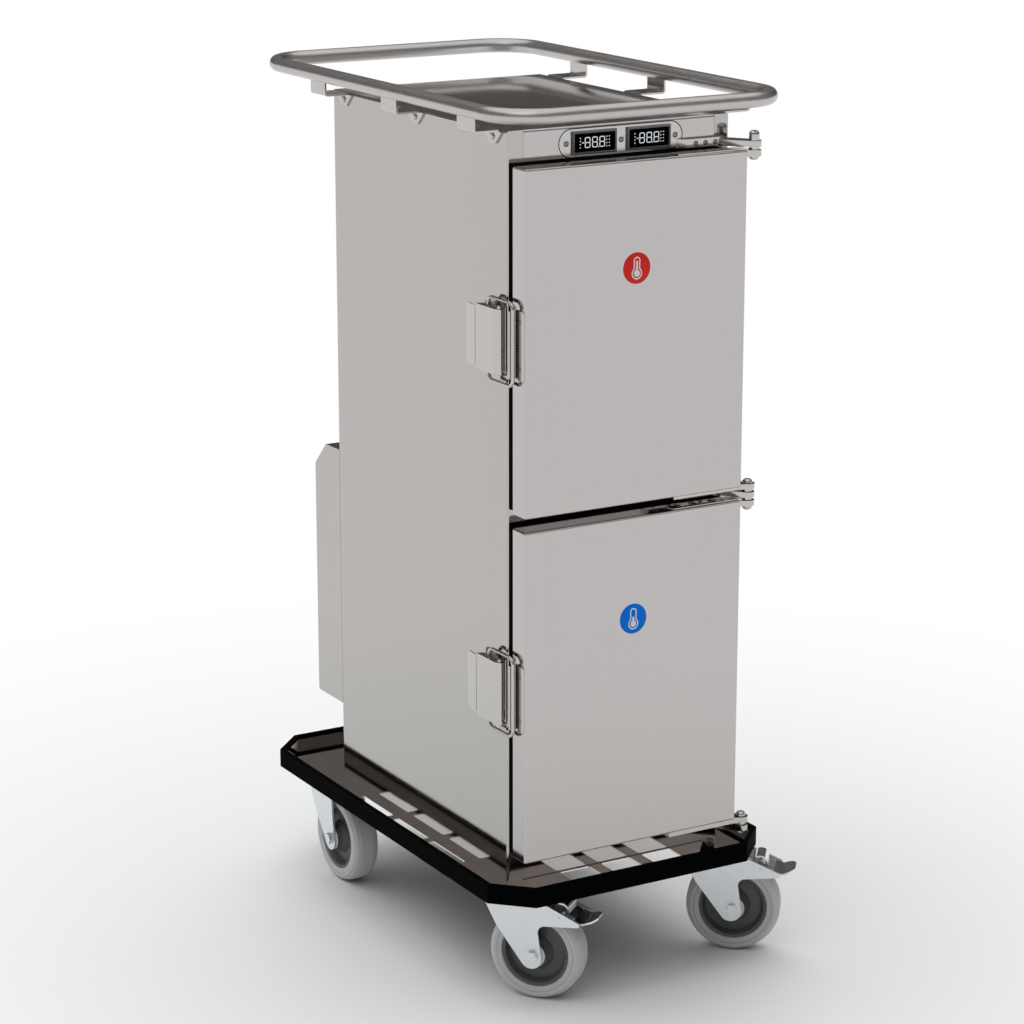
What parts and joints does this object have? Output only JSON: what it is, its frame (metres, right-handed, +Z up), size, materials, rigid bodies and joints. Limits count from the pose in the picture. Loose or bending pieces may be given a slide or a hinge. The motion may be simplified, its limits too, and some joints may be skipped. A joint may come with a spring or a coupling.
{
  "type": "food_transport_trolley",
  "caption": "Stainless food transport trolley with a heated upper and a cooled lower compartment, two hinged doors with draw latches, a push rail and braked castors.",
  "frame": {"origin": "on the floor under the middle of the chassis, halfway across the cabinet", "axes": "+Z up, -Y towards the doors, +X towards the hinge side"},
  "size_m": [0.5898, 0.8937, 1.4694],
  "materials": {
    "cabinet_steel": "satin",
    "door_steel": "satin",
    "liner_steel": "satin",
    "bright_steel": "polished",
    "rail_tube": "polished",
    "tray_steel": "polished",
    "black_rubber": "matte",
    "foam": "matte",
    "heater_sheath": "satin",
    "aluminium": "satin",
    "display_plastic": "gloss",
    "black_plastic": "matte",
    "zinc": "satin",
    "rim_plastic": "satin",
    "grey_tyre": "matte",
    "pedal_steel": "satin"
  },
  "bodies": {
    "cabinet": {"left_side_panel": "cabinet_steel", "right_side_panel": "cabinet_steel", "top_panel": "cabinet_steel", "middle_rail": "cabinet_steel", "bottom_sill": "cabinet_steel", "base_panel": "cabinet_steel", "back_panel": "cabinet_steel", "cabinet_insulation": "foam", "upper_liner": "liner_steel", "lower_liner": "liner_steel", "hot_air_baffle": "liner_steel", "heating_element": "heater_sheath", "cold_plate": "aluminium", "control_plate": "cabinet_steel", "display_modules": "display_plastic", "push_rail": "rail_tube", "rail_brackets": "bright_steel", "rail_bolts": "bright_steel", "chassis_tray": "tray_steel", "bumper": "black_rubber", "castor_plates": "zinc", "hinge_brackets": "bright_steel", "hinge_pins": "bright_steel", "latch_bases": "bright_steel", "cooling_housing": "cabinet_steel", "louvred_cover": "cabinet_steel", "heat_sink": "aluminium", "fan_frame": "black_plastic", "power_inlet": "black_plastic"},
    "fan": {"fan_impeller": "black_plastic"},
    "upper_door": {"upper_door_shell": "door_steel", "upper_door_inner_pan": "liner_steel", "upper_door_insulation": "foam", "upper_door_gasket": "black_rubber", "upper_door_hinge_arms": "bright_steel", "upper_door_keeper": "bright_steel"},
    "lower_door": {"lower_door_shell": "door_steel", "lower_door_inner_pan": "liner_steel", "lower_door_insulation": "foam", "lower_door_gasket": "black_rubber", "lower_door_hinge_arms": "bright_steel", "lower_door_keeper": "bright_steel"},
    "upper_latch_lever": {"upper_latch_lever": "bright_steel"},
    "upper_latch_bail": {"upper_latch_bail": "bright_steel"},
    "lower_latch_lever": {"lower_latch_lever": "bright_steel"},
    "lower_latch_bail": {"lower_latch_bail": "bright_steel"},
    "front_left_swivel": {"front_left_fork": "zinc"},
    "front_left_wheel": {"front_left_wheel_rim": "rim_plastic", "front_left_tyre": "grey_tyre"},
    "front_left_brake": {"front_left_brake_pedal": "pedal_steel"},
    "front_right_swivel": {"front_right_fork": "zinc"},
    "front_right_wheel": {"front_right_wheel_rim": "rim_plastic", "front_right_tyre": "grey_tyre"},
    "front_right_brake": {"front_right_brake_pedal": "pedal_steel"},
    "rear_left_swivel": {"rear_left_fork": "zinc"},
    "rear_left_wheel": {"rear_left_wheel_rim": "rim_plastic", "rear_left_tyre": "grey_tyre"},
    "rear_right_swivel": {"rear_right_fork": "zinc"},
    "rear_right_wheel": {"rear_right_wheel_rim": "rim_plastic", "rear_right_tyre": "grey_tyre"}
  },
  "joints": [
    {"name": "upper_door_hinge", "type": "hinge", "parent": "cabinet", "child": "upper_door", "pos_m": [0.2215, -0.38945, 1.09665], "axis": [0, 0, 1], "range_deg": [0, 270]},
    {"name": "lower_door_hinge", "type": "hinge", "parent": "cabinet", "child": "lower_door", "pos_m": [0.2215, -0.38945, 0.52315], "axis": [0, 0, 1], "range_deg": [0, 270]},
    {"name": "upper_latch_lever_pivot", "type": "hinge", "parent": "cabinet", "child": "upper_latch_lever", "pos_m": [-0.215, -0.33875, 1.09665], "axis": [0, 0, 1], "range_deg": [0, 120]},
    {"name": "upper_latch_bail_pivot", "type": "hinge", "parent": "upper_latch_lever", "child": "upper_latch_bail", "pos_m": [-0.214, -0.30175, 1.09665], "axis": [0, 0, 1], "range_deg": [-120, 0]},
    {"name": "lower_latch_lever_pivot", "type": "hinge", "parent": "cabinet", "child": "lower_latch_lever", "pos_m": [-0.215, -0.33875, 0.52315], "axis": [0, 0, 1], "range_deg": [0, 120]},
    {"name": "lower_latch_bail_pivot", "type": "hinge", "parent": "lower_latch_lever", "child": "lower_latch_bail", "pos_m": [-0.214, -0.30175, 0.52315], "axis": [0, 0, 1], "range_deg": [-120, 0]},
    {"name": "front_left_swivel", "type": "hinge", "parent": "cabinet", "child": "front_left_swivel", "pos_m": [-0.1908, -0.32515, 0.18], "axis": [0, 0, 1], "continuous": true},
    {"name": "front_left_wheel_spin", "type": "hinge", "parent": "front_left_swivel", "child": "front_left_wheel", "pos_m": [-0.15709, -0.36605, 0.08], "axis": [0.7716, 0.6361, 0], "continuous": true},
    {"name": "front_left_brake_pedal", "type": "hinge", "parent": "front_left_swivel", "child": "front_left_brake", "pos_m": [-0.12719, -0.40231, 0.155], "axis": [0.7716, 0.6361, 0], "range_deg": [0, 6.5]},
    {"name": "front_right_swivel", "type": "hinge", "parent": "cabinet", "child": "front_right_swivel", "pos_m": [0.1908, -0.32515, 0.18], "axis": [0, 0, 1], "continuous": true},
    {"name": "front_right_wheel_spin", "type": "hinge", "parent": "front_right_swivel", "child": "front_right_wheel", "pos_m": [0.23216, -0.35829, 0.08], "axis": [0.6252, 0.7804, 0], "continuous": true},
    {"name": "front_right_brake_pedal", "type": "hinge", "parent": "front_right_swivel", "child": "front_right_brake", "pos_m": [0.26884, -0.38767, 0.155], "axis": [0.6252, 0.7804, 0], "range_deg": [0, 6.5]},
    {"name": "rear_left_swivel", "type": "hinge", "parent": "cabinet", "child": "rear_left_swivel", "pos_m": [-0.1908, 0.30725, 0.18], "axis": [0, 0, 1], "continuous": true},
    {"name": "rear_left_wheel_spin", "type": "hinge", "parent": "rear_left_swivel", "child": "rear_left_wheel", "pos_m": [-0.1908, 0.25425, 0.08], "axis": [1, 0, 0], "continuous": true},
    {"name": "rear_right_swivel", "type": "hinge", "parent": "cabinet", "child": "rear_right_swivel", "pos_m": [0.1908, 0.30725, 0.18], "axis": [0, 0, 1], "continuous": true},
    {"name": "rear_right_wheel_spin", "type": "hinge", "parent": "rear_right_swivel", "child": "rear_right_wheel", "pos_m": [0.1908, 0.25425, 0.08], "axis": [1, 0, 0], "continuous": true},
    {"name": "fan_spin", "type": "hinge", "parent": "cabinet", "child": "fan", "pos_m": [0, 0.29725, 0.52315], "axis": [0, 1, 0], "continuous": true}
  ],
  "couplings": [
    {"joint": "upper_latch_bail_pivot", "follows": "upper_latch_lever_pivot", "ratio": -1},
    {"joint": "lower_latch_bail_pivot", "follows": "lower_latch_lever_pivot", "ratio": -1}
  ]
}
